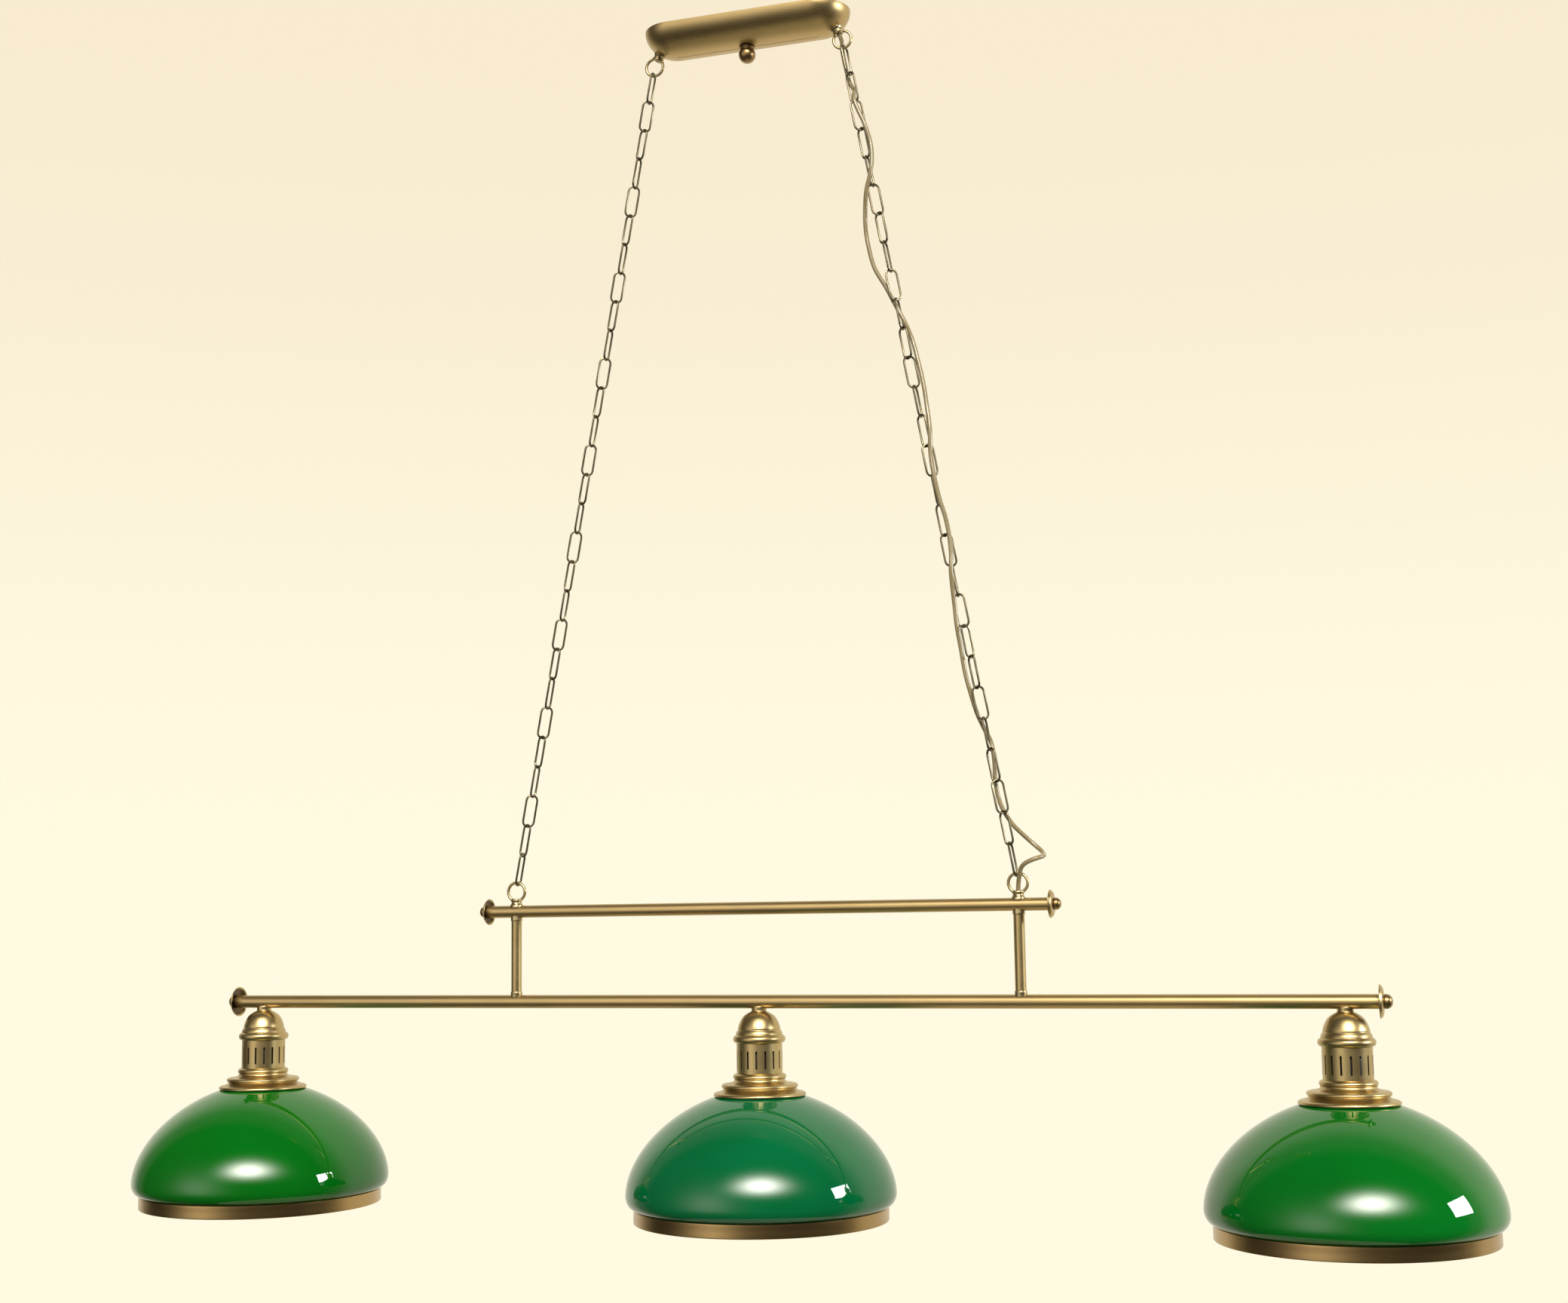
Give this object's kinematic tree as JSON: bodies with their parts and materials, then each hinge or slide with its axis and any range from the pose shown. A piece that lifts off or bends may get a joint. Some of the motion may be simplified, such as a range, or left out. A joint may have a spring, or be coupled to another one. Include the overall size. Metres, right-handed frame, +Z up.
{
  "type": "pool table lamp",
  "caption": "Pool table lamp: a round-ended ceiling canopy and two chains carry a double-bar brass frame with domed green glass shades over bulbs in vented brass holders.",
  "frame": {"origin": "ceiling plane, at the middle of the top face of the canopy's bracket", "axes": "+X along the bars, -Y the front, +Z up; rest pose hanging straight with the frame level"},
  "size_m": [1.553, 0.297, 1.367],
  "materials": {
    "satin_brass": "satin antique brass, brushed round the turned pieces",
    "bright_brass": "polished brass",
    "copper_brass": "aged coppery brass",
    "aged_chain": "dark aged brass wire",
    "plated_steel": "zinc plated",
    "green_glass": "glossy green cased glass, white inside",
    "frosted_bulb": "frosted white glass with a plated screw cap",
    "bakelite": "dark moulded bakelite",
    "terminal_plastic": "moulded off-white",
    "clear_cable": "translucent gold-brown sheath"
  },
  "bodies": {
    "canopy": {"ceiling_bracket": "plated_steel", "canopy_shell": "satin_brass", "canopy_stud": "plated_steel", "canopy_eyelet_left": "bright_brass", "canopy_eyelet_right": "bright_brass", "terminal_block": "terminal_plastic"},
    "knob": {"canopy_knob": "bright_brass"},
    "top_links": {"chain_left_top_link": "aged_chain", "chain_right_top_link": "aged_chain"},
    "right_chain": {"chain_right": "aged_chain", "cable": "clear_cable"},
    "left_chain": {"chain_left": "aged_chain"},
    "bottom_links": {"chain_left_bottom_link": "aged_chain", "chain_right_bottom_link": "aged_chain"},
    "frame": {"frame_eyelet_left": "bright_brass", "frame_eyelet_right": "bright_brass", "upper_bar": "satin_brass", "lower_bar": "satin_brass", "post_left": "satin_brass", "post_right": "satin_brass", "upper_flange_left": "satin_brass", "upper_finial_left": "bright_brass", "post_ferrule_upper_left": "bright_brass", "lower_flange_left": "satin_brass", "lower_finial_left": "bright_brass", "post_ferrule_lower_left": "bright_brass", "upper_flange_right": "satin_brass", "upper_finial_right": "bright_brass", "post_ferrule_upper_right": "bright_brass", "lower_flange_right": "satin_brass", "lower_finial_right": "bright_brass", "post_ferrule_lower_right": "bright_brass", "nipple_left": "plated_steel", "holder_cap_left": "satin_brass", "vent_sleeve_left": "satin_brass", "gallery_left": "satin_brass", "shade_left": "green_glass", "rim_band_left": "copper_brass", "lampholder_left": "bakelite", "shade_ring_left": "bakelite", "bulb_left": "frosted_bulb", "nipple_centre": "plated_steel", "holder_cap_centre": "satin_brass", "vent_sleeve_centre": "satin_brass", "gallery_centre": "satin_brass", "shade_centre": "green_glass", "rim_band_centre": "copper_brass", "lampholder_centre": "bakelite", "shade_ring_centre": "bakelite", "bulb_centre": "frosted_bulb", "nipple_right": "plated_steel", "holder_cap_right": "satin_brass", "vent_sleeve_right": "satin_brass", "gallery_right": "satin_brass", "shade_right": "green_glass", "rim_band_right": "copper_brass", "lampholder_right": "bakelite", "shade_ring_right": "bakelite", "bulb_right": "frosted_bulb"}
  },
  "joints": [
    {"name": "knob_turn", "type": "hinge", "parent": "canopy", "child": "knob", "pos_m": [0, 0, -0.0392], "axis": [0, 0, 1], "continuous": true},
    {"name": "fore_aft_swing", "type": "hinge", "parent": "canopy", "child": "top_links", "pos_m": [0.11821, 0, -0.04813], "axis": [1, 0, 0], "range_deg": [-25, 25]},
    {"name": "sway", "type": "hinge", "parent": "top_links", "child": "right_chain", "pos_m": [0.12431, 0, -0.08123], "axis": [0, 1, 0], "range_deg": [-6, 6], "deforming": ["cable"]},
    {"name": "left_chain_sway", "type": "hinge", "parent": "top_links", "child": "left_chain", "pos_m": [-0.12431, 0, -0.08123], "axis": [0, 1, 0], "range_deg": [-6, 6]},
    {"name": "bottom_link_sway", "type": "hinge", "parent": "right_chain", "child": "bottom_links", "pos_m": [0.28699, 0, -0.96287], "axis": [0, 1, 0], "range_deg": [-3, 3]},
    {"name": "frame_tilt", "type": "hinge", "parent": "bottom_links", "child": "frame", "pos_m": [0.29309, 0, -0.99597], "axis": [1, 0, 0], "range_deg": [-20, 20]}
  ],
  "couplings": [
    {"joint": "left_chain_sway", "follows": "sway", "ratio": 1},
    {"joint": "bottom_link_sway", "follows": "sway", "ratio": -0.4332}
  ]
}
